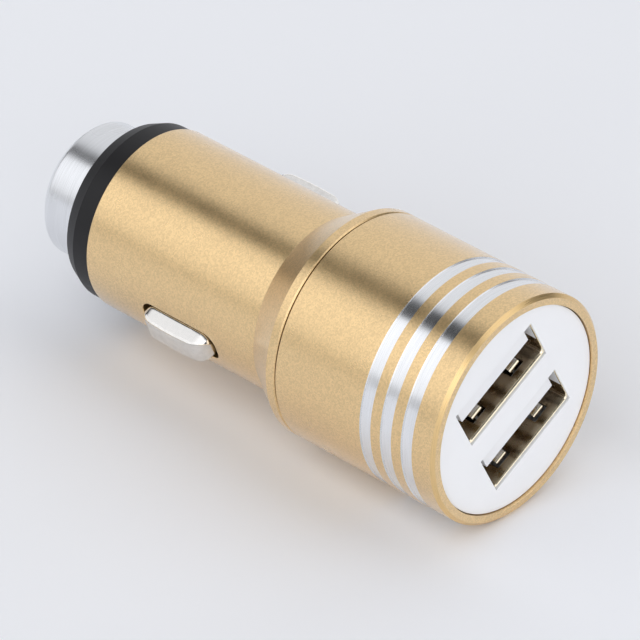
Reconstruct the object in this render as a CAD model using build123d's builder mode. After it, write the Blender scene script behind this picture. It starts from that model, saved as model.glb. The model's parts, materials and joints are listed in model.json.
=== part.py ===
"""Car charger plug with two USB ports: turned metal shells, sprung side contacts and the boards inside.

X runs along the plug's axis towards the ports, with 0 where the barrel meets the shoulder. Z is up.
All lengths are millimetres.
"""
from build123d import *
import os
from math import cos, radians, sin, sqrt

os.makedirs("parts", exist_ok=True)

# Rear shell: barrel, shoulder and the spigot inside the head
barrel_radius = 10.3
barrel_length = 24.1
barrel_wall = 1.2
head_radius = 12.8
shoulder_length = 4.1
collar_length = 1.1
spigot_wall = 1.1
spigot_clearance = 0.05
spigot_chamfer = 0.4

# Head sleeve with its bright-cut bands
head_wall = 1.15
head_length = 21.7
seam_gap = 0.1
seam_chamfer = 0.15
front_chamfer = 0.5
band_count = 3
band_width = 1.5
band_pitch = 2.8
band_depth = 0.15
last_band_to_front = 2.85

# Face plate, a cap whose skirt stands on the front board and whose lip covers the ends of the port shells
plate_recess = 0.35
plate_thickness = 1.6
plate_clearance = 0.08
plate_lip = 0.18
skirt_wall = 1.05

# USB ports: steel shell, plastic tongue and four contact strips each
port_roll = 27.0
port_pitch = 8.6
port_offset = 0.6
port_length = 12.5
port_height = 5.12
port_corner = 0.5
port_shell = 0.3
port_shell_length = 11.6
port_clearance = 0.08
mouth_recess = 0.2
tongue_recess = 0.75
tongue_width = 11.1
tongue_thickness = 1.84
tongue_gap = 0.72
tongue_base_length = 2.6
tongue_base_clearance = 0.06
strip_width = 1.0
strip_thickness = 0.2
strip_seat = 0.12
strip_spacing_inner = 2.0
strip_spacing_outer = 7.0
strip_setback = 0.9
finger_spacing = 6.3
finger_width = 1.5
finger_slit = 0.3
finger_root_depth = 6.6
finger_tip_depth = 2.1
finger_lip = 0.7
finger_rise = 0.62
finger_curl = 0.25
finger_lap = 0.5
finger_window_depth = 1.1

# Boards
board_thickness = 1.2
front_board_clearance = 0.15
board_gap_in_spigot = 0.6
board_gap_in_barrel = 2.1
board_gap_in_ring = 1.5
main_board_tail = 1.7
main_board_head_start = 3.6

# Insulating ring and hammer nose
ring_step = 0.2
ring_length = 2.2
ring_taper_length = 1.6
ring_taper_radius = 9.4
ring_floor = 4.3
ring_skirt_length = 3.5
ring_skirt_clearance = 0.05
ring_cup_radius = 7.4
nose_radius = 7.65
nose_length = 5.9
nose_chamfer = 0.85
nose_tip_radius = 3.0
nose_tip_length = 2.0
nose_tip_round = 0.8
stud_radius = 2.4
stud_clearance = 0.1
stud_proud = 0.3
nut_flats = 7.0
nut_thickness = 2.2
terminal_thickness = 0.4
terminal_radius = 4.2
terminal_tab_width = 2.5
terminal_tab_gap = 0.05
terminal_tab_lap = 1.3

# Side contacts on leaf springs, in their carrier
contact_roll = 19.0
contact_from_rear = 13.05
contact_length = 9.4
contact_width = 3.3
contact_proud = 1.45
contact_end_drop = 0.25
contact_end_radius = 2.1
slot_clearance = 0.2
slot_end_clearance = 0.55
slot_corner = 1.5
flange_length = 11.4
flange_width = 5.0
flange_thickness = 0.9
flange_clearance = 0.12
leaf_rise = 2.7
leaf_span = 10.8
leaf_width = 4.2
leaf_thickness = 0.25
leaf_clearance = 0.02
carrier_length = 13.4
carrier_clearance = 0.15
carrier_board_clearance = 0.1
pocket_clearance = 0.2

# Parts on the main board, placed along X and across the board
inductor_radius = 3.6
inductor_height = 4.2
inductor_flange = 0.8
inductor_waist = 0.5
inductor_x = 7.4
inductor_across = 3.2
input_can_radius = 3.15
input_can_length = 8.0
input_can_clearance = 0.6
input_can_across = -3.6
output_can_radius = 2.5
output_can_length = 6.6
output_can_x = 5.6
output_can_across = 4.6
can_groove_depth = 0.25
can_groove_width = 0.8
can_groove_from_end = 1.2
chip_length = 4.9
chip_width = 3.9
chip_height = 1.5
chip_clearance = 0.7
chip_leads = 4
chip_lead_pitch = 1.27
chip_lead_width = 0.42
chip_lead_reach = 1.05
chip_lead_thickness = 0.22
diode_length = 4.3
diode_width = 2.6
diode_height = 2.2
diode_x = 5.0
diode_across = -5.4
ceramic_length = 2.0
ceramic_width = 1.25
ceramic_spacing = 2.4
ceramic_count = 4
ceramic_x = 9.6
ceramic_across = -4.4
clip_width = 2.4
clip_thickness = 0.3
clip_foot = 3.0
clip_clearance = 0.75
clip_lean = 1.6
clip_wall_gap = 0.15

# Places that follow from the sizes above
bore_radius = barrel_radius - barrel_wall
sleeve_bore = head_radius - head_wall
spigot_radius = sleeve_bore - spigot_clearance
spigot_bore = spigot_radius - spigot_wall
collar_end = shoulder_length + collar_length
sleeve_start = collar_end + seam_gap
front_end = sleeve_start + head_length
plate_front = front_end - plate_recess
plate_back = plate_front - plate_thickness
port_mouth = plate_front - mouth_recess
board_front = port_mouth - port_shell_length
board_back = board_front - board_thickness
barrel_rear = -barrel_length
ring_taper_start = barrel_rear - ring_length
ring_rear = ring_taper_start - ring_taper_length
ring_cup_floor = ring_rear + ring_floor
terminal_front = ring_cup_floor + terminal_thickness
nut_front = terminal_front + nut_thickness
contact_centre = barrel_rear + contact_from_rear
carrier_rear = contact_centre - carrier_length / 2
carrier_front = carrier_rear + carrier_length
chip_x = carrier_front + chip_clearance + chip_length / 2
clip_x = carrier_front + clip_clearance
input_can_x = clip_x + clip_foot + clip_lean + input_can_clearance
main_board_head_width = 2 * (spigot_bore - board_gap_in_spigot)
main_board_barrel_width = 2 * (bore_radius - board_gap_in_barrel)
main_board_tail_width = 2 * (ring_cup_radius - board_gap_in_ring)
half_board = board_thickness / 2
flange_top = sqrt(bore_radius**2 - (flange_width / 2) ** 2) - flange_clearance
flange_bottom = flange_top - flange_thickness
leaf_crown = flange_bottom - leaf_clearance
leaf_seat = leaf_crown - leaf_rise
across_axis = Vector(0, sin(radians(contact_roll)), -cos(radians(contact_roll)))
outward = {
    "left": Vector(0, -cos(radians(contact_roll)), -sin(radians(contact_roll))),
    "right": Vector(0, cos(radians(contact_roll)), sin(radians(contact_roll))),
}
port_axis = Vector(0, cos(radians(port_roll)), sin(radians(port_roll)))
port_up = Vector(0, -sin(radians(port_roll)), cos(radians(port_roll)))
port_rows = {"upper": port_offset + port_pitch / 2, "lower": port_offset - port_pitch / 2}


def facing(side, x=0.0, across=0.0, height=0.0):
    """Plane that looks out towards one side contact: X along the plug, Y across the board."""
    origin = Vector(x, 0, 0) + across_axis * across + outward[side] * height
    return Plane(origin=origin, x_dir=(1, 0, 0), z_dir=outward[side])


def edgewise(side, x=0.0, across=0.0):
    """Plane seen along the board: X along the plug, Y out towards one side contact."""
    normal = Vector(1, 0, 0).cross(outward[side])
    return Plane(origin=Vector(x, 0, 0) + across_axis * across, x_dir=(1, 0, 0), z_dir=normal)


def port_face(x, row=0.0):
    """Plane across the plug at x, seen from the ports' end, with X along the port slots."""
    return Plane(origin=Vector(x, 0, 0) + port_up * row, x_dir=port_axis, z_dir=(1, 0, 0))


def port_edge(row, along=0.0):
    """Plane along the plug through one port, with Y towards the upper long wall."""
    return Plane(origin=port_up * row + port_axis * along, x_dir=(-1, 0, 0), z_dir=port_axis)


def finish(part, name):
    """Names a finished piece and writes it."""
    part.label = name
    export_step(part, f"parts/{name}.step")


# Rear shell, turned in one piece, with a slot on each side for the contacts
with BuildPart() as rear_shell:
    with BuildSketch(Plane.XY):
        with BuildLine():
            flare = (spigot_bore - bore_radius) * shoulder_length / (head_radius - barrel_radius)
            Polyline(
                (barrel_rear, bore_radius),
                (barrel_rear, barrel_radius),
                (0, barrel_radius),
                (shoulder_length, head_radius),
                (collar_end - seam_chamfer, head_radius),
                (collar_end, head_radius - seam_chamfer),
                (collar_end, spigot_radius),
                (board_back - spigot_chamfer, spigot_radius),
                (board_back, spigot_radius - spigot_chamfer),
                (board_back, spigot_bore),
                (shoulder_length, spigot_bore),
                (shoulder_length - flare, bore_radius),
                close=True,
            )
        make_face()
    revolve(axis=Axis.X)
    for side in outward:
        with BuildSketch(facing(side, contact_centre, height=bore_radius / 2)):
            slot_length = contact_length + 2 * slot_end_clearance
            slot_width = contact_width + 2 * slot_clearance
            RectangleRounded(slot_length, slot_width, slot_corner)
        extrude(amount=barrel_radius, mode=Mode.SUBTRACT)
finish(rear_shell.part, "rear_shell")

# Head sleeve, a tube with shallow bright-cut bands and a cut front edge
with BuildPart() as head_sleeve:
    with BuildSketch(Plane.XY):
        with BuildLine():
            Polyline(
                (sleeve_start, sleeve_bore),
                (sleeve_start, head_radius - seam_chamfer),
                (sleeve_start + seam_chamfer, head_radius),
                (front_end - front_chamfer, head_radius),
                (front_end, head_radius - front_chamfer),
                (front_end, sleeve_bore),
                close=True,
            )
        make_face()
        for index in range(band_count):
            with Locations((front_end - last_band_to_front - index * band_pitch, head_radius)):
                Rectangle(band_width, 2 * band_depth, align=(Align.MAX, Align.CENTER), mode=Mode.SUBTRACT)
    revolve(axis=Axis.X)
finish(head_sleeve.part, "head_sleeve")

# Face plate, a moulded cap that clamps the front board against the spigot
with BuildPart() as face_plate:
    with BuildSketch(Plane.YZ.offset(board_front)):
        Circle(sleeve_bore - plate_clearance)
        Circle(sleeve_bore - plate_clearance - skirt_wall, mode=Mode.SUBTRACT)
    extrude(amount=plate_back - board_front)
    with BuildSketch(Plane.YZ.offset(plate_back)):
        Circle(sleeve_bore - plate_clearance)
    extrude(amount=plate_thickness)
    shell_room = port_shell + port_clearance
    for row in port_rows.values():
        with BuildSketch(port_face(board_front, row)):
            RectangleRounded(port_length + 2 * shell_room, port_height + 2 * shell_room, port_corner + shell_room)
        extrude(amount=plate_front - plate_lip - board_front, mode=Mode.SUBTRACT)
        with BuildSketch(port_face(plate_back, row)):
            with Locations((0, port_height / 2)):
                Rectangle(port_length, port_height + shell_room, align=(Align.CENTER, Align.MAX))
        extrude(amount=plate_thickness, mode=Mode.SUBTRACT)
finish(face_plate.part, "face_plate")

# USB ports, one above the other and facing the same way
for name, row in port_rows.items():
    with BuildPart() as usb_shell:
        with BuildSketch(port_face(board_front, row)):
            RectangleRounded(port_length + 2 * port_shell, port_height + 2 * port_shell, port_corner + port_shell)
            RectangleRounded(port_length, port_height, port_corner, mode=Mode.SUBTRACT)
        extrude(amount=port_shell_length)
        window_length = finger_root_depth - finger_window_depth
        for along in (-finger_spacing / 2, finger_spacing / 2):
            with BuildSketch(port_edge(row, along)):
                with Locations((-(port_mouth - finger_window_depth), 0)):
                    Rectangle(window_length, port_height + 3 * port_shell, align=(Align.MIN, Align.CENTER))
            extrude(amount=finger_width / 2 + finger_slit, both=True, mode=Mode.SUBTRACT)
            for up in (-1, 1):
                wall = up * port_height / 2
                root = -(port_mouth - finger_root_depth)
                tip = -(port_mouth - finger_tip_depth)
                path = [
                    (root + finger_lap, wall),
                    (root, wall),
                    (tip, wall - up * finger_rise),
                    (tip - finger_lip, wall - up * (finger_rise - finger_curl)),
                ]
                with BuildSketch(port_edge(row, along)):
                    with BuildLine():
                        back = [(x, y + up * port_shell) for x, y in reversed(path)]
                        Polyline(*path, *back, close=True)
                    make_face()
                extrude(amount=finger_width / 2, both=True)
    finish(usb_shell.part, f"usb_shell_{name}")

    tongue_bottom = port_height / 2 - tongue_gap - tongue_thickness
    tongue_end = plate_front - tongue_recess
    base_end = board_front + tongue_base_length
    strip_places = [
        (across, tongue_bottom)
        for spacing in (strip_spacing_outer, strip_spacing_inner)
        for across in (-spacing / 2, spacing / 2)
    ]
    with BuildPart() as usb_tongue:
        with BuildSketch(port_face(board_front, row)):
            inset = 2 * tongue_base_clearance
            RectangleRounded(port_length - inset, port_height - inset, port_corner)
        extrude(amount=tongue_base_length)
        with BuildSketch(port_face(base_end, row)):
            with Locations((0, tongue_bottom)):
                Rectangle(tongue_width, tongue_thickness, align=(Align.CENTER, Align.MIN))
        extrude(amount=tongue_end - base_end)
        with BuildSketch(port_face(base_end, row)):
            with Locations(*strip_places):
                Rectangle(strip_width, strip_seat, align=(Align.CENTER, Align.MIN))
        extrude(amount=tongue_end - strip_setback - base_end, mode=Mode.SUBTRACT)
    finish(usb_tongue.part, f"usb_tongue_{name}")

    with BuildPart() as usb_contacts:
        with BuildSketch(port_face(base_end, row)):
            with Locations(*[(across, height + strip_seat) for across, height in strip_places]):
                Rectangle(strip_width, strip_thickness, align=(Align.CENTER, Align.MAX))
        extrude(amount=tongue_end - strip_setback - base_end)
    finish(usb_contacts.part, f"usb_contacts_{name}")

# Boards: a round one behind the ports and a stepped one down the middle of the barrel
with BuildPart() as front_board:
    with BuildSketch(Plane.YZ.offset(board_back)):
        Circle(sleeve_bore - front_board_clearance)
    extrude(amount=board_thickness)
finish(front_board.part, "front_board")

with BuildPart() as main_board:
    with BuildSketch(facing("left")):
        steps = (
            (carrier_rear - main_board_tail, main_board_tail_width),
            (carrier_rear, main_board_barrel_width),
            (main_board_head_start, main_board_head_width),
        )
        for start, width in steps:
            with Locations((start, 0)):
                Rectangle(board_back - start, width, align=(Align.MIN, Align.CENTER))
    extrude(amount=half_board, both=True)
finish(main_board.part, "main_board")

# Insulating ring, which plugs the barrel and carries the nose
with BuildPart() as insulating_ring:
    with BuildSketch(Plane.XY):
        with BuildLine():
            Polyline(
                (ring_rear, stud_radius + stud_clearance),
                (ring_rear, ring_taper_radius),
                (ring_taper_start, barrel_radius - ring_step),
                (barrel_rear, barrel_radius - ring_step),
                (barrel_rear, bore_radius - ring_skirt_clearance),
                (barrel_rear + ring_skirt_length, bore_radius - ring_skirt_clearance),
                (barrel_rear + ring_skirt_length, ring_cup_radius),
                (ring_cup_floor, ring_cup_radius),
                (ring_cup_floor, stud_radius + stud_clearance),
                close=True,
            )
        make_face()
    revolve(axis=Axis.X)
finish(insulating_ring.part, "insulating_ring")

# Hammer nose, the centre contact, held by a stud and nut
with BuildPart() as nose_contact:
    with BuildSketch(Plane.XY):
        with BuildLine():
            nose_end = ring_rear - nose_length
            Polyline(
                (nut_front + stud_proud, 0),
                (nut_front + stud_proud, stud_radius),
                (ring_rear, stud_radius),
                (ring_rear, nose_radius),
                (nose_end + nose_chamfer, nose_radius),
                (nose_end, nose_radius - nose_chamfer),
                (nose_end - nose_tip_length, nose_tip_radius),
                (nose_end - nose_tip_length, 0),
                close=True,
            )
        make_face()
    revolve(axis=Axis.X)
    fillet(nose_contact.edges().filter_by(GeomType.CIRCLE).sort_by(Axis.X)[0], nose_tip_round)
finish(nose_contact.part, "nose_contact")

with BuildPart() as nose_nut:
    with BuildSketch(Plane.YZ.offset(terminal_front)):
        RegularPolygon(nut_flats / 2, 6, major_radius=False)
        Circle(stud_radius + stud_clearance, mode=Mode.SUBTRACT)
    extrude(amount=nut_thickness)
finish(nose_nut.part, "nose_nut")

# Terminal: an eyelet under the nut, bent forward beside the main board's tail
with BuildPart() as nose_terminal:
    tab_inner = main_board_tail_width / 2 + terminal_tab_gap
    with BuildSketch(Plane(origin=(ring_cup_floor, 0, 0), x_dir=across_axis, z_dir=(1, 0, 0))):
        Circle(terminal_radius)
        Rectangle(tab_inner + terminal_thickness, terminal_tab_width, align=(Align.MIN, Align.CENTER))
        Circle(stud_radius + stud_clearance, mode=Mode.SUBTRACT)
    extrude(amount=terminal_thickness)
    with BuildSketch(Plane(origin=(ring_cup_floor, 0, 0), x_dir=across_axis, z_dir=(1, 0, 0))):
        with Locations((tab_inner, 0)):
            Rectangle(terminal_thickness, terminal_tab_width, align=(Align.MIN, Align.CENTER))
    extrude(amount=carrier_rear - main_board_tail + terminal_tab_lap - ring_cup_floor)
finish(nose_terminal.part, "nose_terminal")

# Side contacts: a boat-shaped shoe on a flange that the barrel keeps in, and the leaf spring under it
for side in outward:
    with BuildPart() as side_contact:
        with BuildSketch(edgewise(side, contact_centre)):
            half = contact_length / 2
            crown = barrel_radius + contact_proud
            with BuildLine():
                Polyline(
                    (-half, crown - contact_end_drop),
                    (-half, flange_bottom),
                    (half, flange_bottom),
                    (half, crown - contact_end_drop),
                )
                ThreePointArc((half, crown - contact_end_drop), (0, crown), (-half, crown - contact_end_drop))
            outline = make_face()
            fillet(outline.vertices().group_by(Axis.Y)[-1], contact_end_radius)
        extrude(amount=contact_width / 2, both=True)
        with BuildSketch(facing(side, contact_centre, height=flange_bottom)):
            RectangleRounded(contact_length, contact_width, slot_corner - slot_clearance)
        extrude(amount=crown, mode=Mode.INTERSECT)
        with BuildSketch(facing(side, contact_centre, height=flange_bottom)):
            Rectangle(flange_length, flange_width)
        extrude(amount=flange_thickness)
    finish(side_contact.part, f"side_contact_{side}")

    with BuildPart() as contact_leaf:
        with BuildSketch(edgewise(side, contact_centre)):
            end = leaf_span / 2
            inner_end = end - 2 * leaf_thickness
            with BuildLine():
                ThreePointArc((-end, leaf_seat), (0, leaf_crown), (end, leaf_seat))
                Line((end, leaf_seat), (inner_end, leaf_seat))
                ThreePointArc((inner_end, leaf_seat), (0, leaf_crown - leaf_thickness), (-inner_end, leaf_seat))
                Line((-inner_end, leaf_seat), (-end, leaf_seat))
            make_face()
        extrude(amount=leaf_width / 2, both=True)
    finish(contact_leaf.part, f"contact_leaf_{side}")

# Carrier: the insulating core that the board slides through, with a spring pocket on each side
with BuildPart() as contact_carrier:
    with BuildSketch(Plane.YZ.offset(carrier_rear)):
        Circle(bore_radius - carrier_clearance)
    extrude(amount=carrier_length)
    with BuildSketch(Plane(origin=(carrier_rear, 0, 0), x_dir=across_axis, z_dir=(1, 0, 0))):
        gap = 2 * carrier_board_clearance
        Rectangle(main_board_barrel_width + gap, board_thickness + gap)
    extrude(amount=carrier_length, mode=Mode.SUBTRACT)
    for side in outward:
        with BuildSketch(facing(side, contact_centre, height=leaf_seat)):
            room = 2 * pocket_clearance
            Rectangle(flange_length + room, flange_width + room)
        extrude(amount=barrel_radius, mode=Mode.SUBTRACT)
finish(contact_carrier.part, "contact_carrier")

# Inductor: a drum core with its winding
with BuildPart() as inductor:
    with BuildSketch(facing("left", inductor_x, inductor_across, half_board)):
        Circle(inductor_radius)
    extrude(amount=inductor_height)
    with BuildSketch(facing("left", inductor_x, inductor_across, half_board + inductor_flange)):
        Circle(inductor_radius)
        Circle(inductor_radius - inductor_waist, mode=Mode.SUBTRACT)
    extrude(amount=inductor_height - 2 * inductor_flange, mode=Mode.SUBTRACT)
finish(inductor.part, "inductor")

# Electrolytic capacitors, lying along the board
cans = {
    "input_capacitor": (input_can_radius, input_can_length, input_can_x, input_can_across),
    "output_capacitor": (output_can_radius, output_can_length, output_can_x, output_can_across),
}
for name, (radius, length, start, across) in cans.items():
    with BuildPart() as can:
        centre = across_axis * across + outward["right"] * (half_board + radius) + Vector(start, 0, 0)
        with BuildSketch(Plane(origin=centre, x_dir=across_axis, z_dir=(1, 0, 0))):
            Circle(radius)
        extrude(amount=length)
        groove = Plane(origin=centre + Vector(can_groove_from_end, 0, 0), x_dir=across_axis, z_dir=(1, 0, 0))
        with BuildSketch(groove):
            Circle(radius)
            Circle(radius - can_groove_depth, mode=Mode.SUBTRACT)
        extrude(amount=can_groove_width, mode=Mode.SUBTRACT)
    finish(can.part, name)

# Converter chip with its leads
with BuildPart() as converter_chip:
    with BuildSketch(facing("left", chip_x, height=half_board + chip_lead_thickness)):
        Rectangle(chip_length, chip_width)
    extrude(amount=chip_height - chip_lead_thickness)
    with BuildSketch(facing("left", chip_x, height=half_board)):
        with GridLocations(chip_lead_pitch, chip_width, chip_leads, 1):
            Rectangle(chip_lead_width, chip_width + 2 * chip_lead_reach)
    extrude(amount=chip_lead_thickness)
finish(converter_chip.part, "converter_chip")

with BuildPart() as rectifier_diode:
    with BuildSketch(facing("left", diode_x, diode_across, half_board)):
        Rectangle(diode_length, diode_width)
    extrude(amount=diode_height)
finish(rectifier_diode.part, "rectifier_diode")

with BuildPart() as ceramic_capacitors:
    with BuildSketch(facing("left", ceramic_x, ceramic_across, half_board)):
        with GridLocations(ceramic_length, ceramic_spacing, 1, ceramic_count):
            Rectangle(ceramic_length, ceramic_width)
    extrude(amount=ceramic_width)
finish(ceramic_capacitors.part, "ceramic_capacitors")

# Ground clip: a bent strip from the board to the barrel's wall
with BuildPart() as ground_clip:
    with BuildSketch(edgewise("right")):
        reach = sqrt(bore_radius**2 - (clip_width / 2) ** 2) - clip_wall_gap
        path = [(clip_x, half_board), (clip_x + clip_foot, half_board), (clip_x + clip_foot + clip_lean, reach)]
        with BuildLine():
            Polyline(
                path[0],
                path[1],
                path[2],
                (path[2][0] - clip_thickness, path[2][1]),
                (path[1][0] - clip_thickness, path[1][1] + clip_thickness),
                (path[0][0], path[0][1] + clip_thickness),
                close=True,
            )
        make_face()
    extrude(amount=clip_width / 2, both=True)
finish(ground_clip.part, "ground_clip")
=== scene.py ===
"""Car charger plug with two USB ports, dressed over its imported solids, and the studio round it.

X runs along the plug's axis towards the ports and Z is up. Every size is in metres.
"""
import json
import math

import bmesh
import bpy
import numpy as np
from mathutils import Matrix, Vector


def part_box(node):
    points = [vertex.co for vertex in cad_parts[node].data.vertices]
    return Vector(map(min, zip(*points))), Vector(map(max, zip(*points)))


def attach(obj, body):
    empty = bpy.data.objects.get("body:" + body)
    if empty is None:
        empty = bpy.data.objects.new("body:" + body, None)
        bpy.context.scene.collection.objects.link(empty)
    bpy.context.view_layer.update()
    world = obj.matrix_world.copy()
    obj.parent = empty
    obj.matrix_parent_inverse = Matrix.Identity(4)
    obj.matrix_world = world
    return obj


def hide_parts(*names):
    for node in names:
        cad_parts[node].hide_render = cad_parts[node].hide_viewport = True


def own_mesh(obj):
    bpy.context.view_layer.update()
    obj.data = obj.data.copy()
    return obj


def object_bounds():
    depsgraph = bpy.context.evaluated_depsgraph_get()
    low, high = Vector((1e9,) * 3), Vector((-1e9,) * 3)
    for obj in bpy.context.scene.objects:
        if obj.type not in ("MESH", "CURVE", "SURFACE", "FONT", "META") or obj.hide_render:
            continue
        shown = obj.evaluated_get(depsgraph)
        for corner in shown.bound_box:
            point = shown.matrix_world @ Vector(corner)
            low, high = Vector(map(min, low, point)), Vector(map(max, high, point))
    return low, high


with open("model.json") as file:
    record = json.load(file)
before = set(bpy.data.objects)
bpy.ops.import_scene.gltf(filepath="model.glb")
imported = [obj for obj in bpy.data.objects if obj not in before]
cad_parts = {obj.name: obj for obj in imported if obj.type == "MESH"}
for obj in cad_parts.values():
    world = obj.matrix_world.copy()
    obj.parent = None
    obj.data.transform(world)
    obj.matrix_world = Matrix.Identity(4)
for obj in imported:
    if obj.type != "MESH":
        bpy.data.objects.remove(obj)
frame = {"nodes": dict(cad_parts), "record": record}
CAD_BOX = [list(corner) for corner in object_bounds()]

bl_info = {
    "name": "Car Charger Plug",
    "version": (1, 0, 0),
    "blender": (4, 5, 0),
    "location": "View3D > Sidebar > Charger",
    "description": "Builds the visible pieces of a two-port car charger plug over its solids",
    "category": "Object",
}

MM = 0.001
IMAGE_SIDE = 640

# Places read from the frame
SHELL_LOW, SHELL_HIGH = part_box("rear_shell")
HEAD_LOW, HEAD_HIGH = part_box("head_sleeve")
RING_LOW, RING_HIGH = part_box("insulating_ring")
NOSE_LOW, NOSE_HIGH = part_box("nose_contact")
SHOE_LOW, SHOE_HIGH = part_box("side_contact_left")
SIDES = {joint["name"].split("_")[0]: joint for joint in frame["record"]["behaviour"]["joints"]}
MOUNTS = {mount["name"]: mount for mount in frame["record"]["mounts"]}
BARREL_RADIUS = MOUNTS["socket_barrel"]["dims"]["r_mm"] * MM

# Fineness of the meshes, and the rounds that no setting gives
SHELL_COLUMNS = 288
NOSE_COLUMNS = 256
PATCH_CELLS = 44
PATCH_HALF_COLUMNS = 16
PATCH_MARGIN = 1.3 * MM
FLOOR_LINES = 5
RING_ROUND = 0.08 * MM
NOSE_ROUNDS = np.array([1e-3, 0.1, 0.05, 0.1, 0.5, 0.5, 0.8, 1e-3]) * MM
FLANGE_ROUND = 0.12 * MM
FLANGE_CORNER = 0.6 * MM
MERGE_DISTANCE = 1e-7
SHORTEST_EDGE = 1e-8
FLAT_ANGLE = math.radians(0.5)
SHARP_ANGLE = math.radians(35)
BEVEL_ANGLE = math.radians(50)

# Grain of the finishes
TURNING_PITCH = 0.05 * MM
PLATING_CLOUD = 0.7 * MM
PLATING_GRAIN = 0.12 * MM
PLATING_DEPTH = 0.0006 * MM
MOULDED_CLOUD = 5 * MM
MOULDED_GRAIN = 0.09 * MM
CAP_DEPTH = 0.0008 * MM

# The studio: brightness at each angle about X in degrees, its tint, and dark cards, each with its direction,
# the half angles in degrees where it begins and is full, and the share of light that it leaves
STUDIO_STOPS = (
    (-180, 0.40), (-170, 0.57), (-10, 0.57), (4, 0.55), (74, 0.57), (84, 0.50), (92, 0.04), (107, 0.03),
    (112, 0.78), (140, 0.78), (166, 0.68), (173, 0.40), (180, 0.40),
)
STUDIO_TINT = (0.99, 1.0, 1.025)
DARK_CARDS = (((0.36, 0.88, 0.30), 24, 10, 0.1), ((-0.98, 0.18, 0.0), 26, 8, 0.3))


def length(name, description, millimetres):
    """A size that a user may change, given in millimetres and kept in metres."""
    return bpy.props.FloatProperty(
        name=name, description=description, default=millimetres * MM, unit="LENGTH", precision=5
    )


def angle(name, description, degrees):
    """An angle that a user may change, given in degrees and kept in radians."""
    return bpy.props.FloatProperty(
        name=name, description=description, default=math.radians(degrees), unit="ROTATION"
    )


def colour(name, description, value):
    """A linear colour that a user may change."""
    return bpy.props.FloatVectorProperty(
        name=name, description=description, default=value, size=3, min=0.0, max=1.0, subtype="COLOR"
    )


def share(name, description, value):
    """A number from 0 to 1 that a user may change."""
    return bpy.props.FloatProperty(
        name=name, description=description, default=value, min=0.0, max=1.0, subtype="FACTOR"
    )


class ChargerShellSizes(bpy.types.PropertyGroup):
    """Sizes of the turned shells, the ring and the nose."""

    barrel_wall: length("Barrel wall", "Thickness of the barrel's wall", 1.2)
    shoulder_length: length("Shoulder length", "Length of the cone between barrel and head", 4.1)
    collar_length: length("Collar length", "Plain ring between the cone and the seam", 1.1)
    spigot_wall: length("Spigot wall", "Wall of the spigot inside the head", 1.1)
    spigot_clearance: length("Spigot clearance", "Gap between spigot and sleeve", 0.05)
    spigot_chamfer: length("Spigot chamfer", "Lead-in on the end of the spigot", 0.4)
    seam_chamfer: length("Seam chamfer", "Broken edge on each side of the seam", 0.15)
    head_wall: length("Head wall", "Thickness of the head sleeve", 1.15)
    front_chamfer: length("Front chamfer", "Cut edge round the front of the head", 0.4)
    band_width: length("Band width", "Width of one bright-cut band", 1.5)
    band_pitch: length("Band pitch", "Distance from band to band", 2.8)
    band_depth: length("Band depth", "Depth of the bright cut", 0.15)
    band_setback: length("Band setback", "Gold left in front of the last band", 2.85)
    edge_round: length("Edge round", "Radius left on turned edges", 0.06)
    shoulder_round: length("Shoulder round", "Radius where the cone leaves the barrel", 0.2)
    slot_clearance: length("Slot clearance", "Gap along the sides of a contact", 0.15)
    slot_end_clearance: length("Slot end clearance", "Gap at the ends of a contact", 0.55)
    slot_corner: length("Slot corner", "Corner radius of the contact slots", 1.5)
    slot_edge: length("Slot edge", "Rounding of the slots' outer edge", 0.1)
    ring_length: length("Ring length", "Cylindrical part of the black ring", 2.2)
    ring_taper_radius: length("Ring taper radius", "Small end of the ring's taper", 9.4)
    ring_cup_radius: length("Ring cup radius", "Inside of the ring's skirt", 7.4)
    ring_floor: length("Ring floor", "Thickness of the ring behind its cup", 4.3)
    ring_skirt_clearance: length("Ring skirt clearance", "Gap between ring and bore", 0.05)
    stud_radius: length("Stud radius", "Screw behind the nose", 2.4)
    stud_clearance: length("Stud clearance", "Gap round the stud", 0.1)
    nose_length: length("Nose length", "Cylindrical part of the nose", 5.9)
    nose_chamfer: length("Nose chamfer", "Cut edge of the nose", 0.85)
    nose_tip_radius: length("Nose tip radius", "Small end of the nose", 3.0)


class ChargerContactSizes(bpy.types.PropertyGroup):
    """Sizes of the sprung side contacts and their leaf springs."""

    shoe_length: length("Shoe length", "Length of the shoe along the plug", 9.4)
    shoe_width: length("Shoe width", "Width of the shoe in its slot", 3.4)
    shoe_proud: length("Shoe proud", "How far the crown stands out of the barrel", 1.6)
    end_drop: length("End drop", "Fall of the crown towards its ends", 0.25)
    end_radius: length("End radius", "Rounding of the crown's ends", 2.1)
    crown_width: length("Crown width", "Width of the shoe's outer face, between its leaning sides", 2.5)
    shoe_edge: length("Shoe edge", "Fine groove under the crown's edges", 0.07)
    flange_length: length("Flange length", "Length of the flange inside the barrel", 11.4)
    flange_width: length("Flange width", "Width of the flange inside the barrel", 5.0)
    flange_thickness: length("Flange thickness", "Thickness of the flange", 0.9)
    flange_clearance: length("Flange clearance", "Gap between flange and bore", 0.12)
    leaf_rise: length("Leaf rise", "Height of the arched leaf spring", 2.7)
    leaf_span: length("Leaf span", "Length that the leaf spring bridges", 10.8)
    leaf_width: length("Leaf width", "Width of the leaf spring", 4.2)
    leaf_thickness: length("Leaf thickness", "Thickness of the spring strip", 0.25)
    leaf_clearance: length("Leaf clearance", "Gap between leaf and flange at rest", 0.02)


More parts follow.
